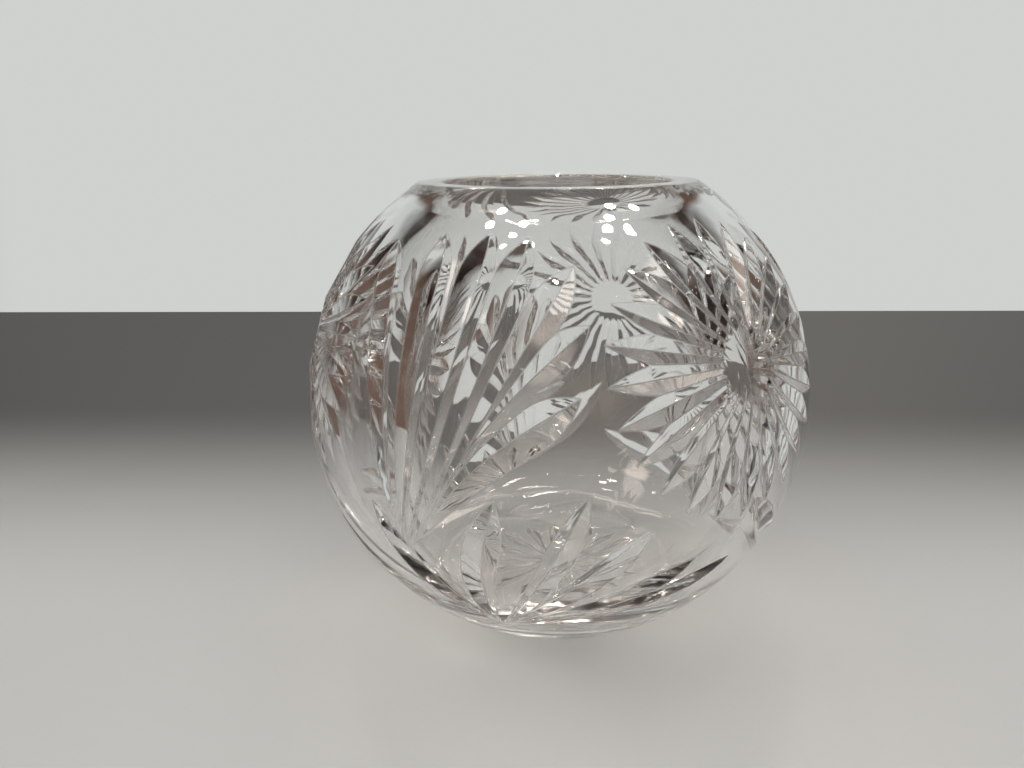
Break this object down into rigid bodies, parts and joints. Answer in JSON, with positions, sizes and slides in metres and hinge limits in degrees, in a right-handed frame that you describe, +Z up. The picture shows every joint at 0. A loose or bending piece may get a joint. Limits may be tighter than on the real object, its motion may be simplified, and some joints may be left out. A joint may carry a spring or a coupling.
{
  "type": "rose bowl vase",
  "caption": "Globe-shaped clear cut-crystal rose bowl with a flat rim, flower and leaf-spray cutting and a star-cut base, for short-stemmed flowers in water.",
  "frame": {"origin": "middle of the flat base", "axes": "+Z up through the middle of the mouth, -Y towards the side shown in the picture"},
  "size_m": [0.1499, 0.15, 0.128],
  "materials": {
    "crystal": "polished"
  },
  "bodies": {
    "root": {"bowl": "crystal"}
  },
  "joints": []
}
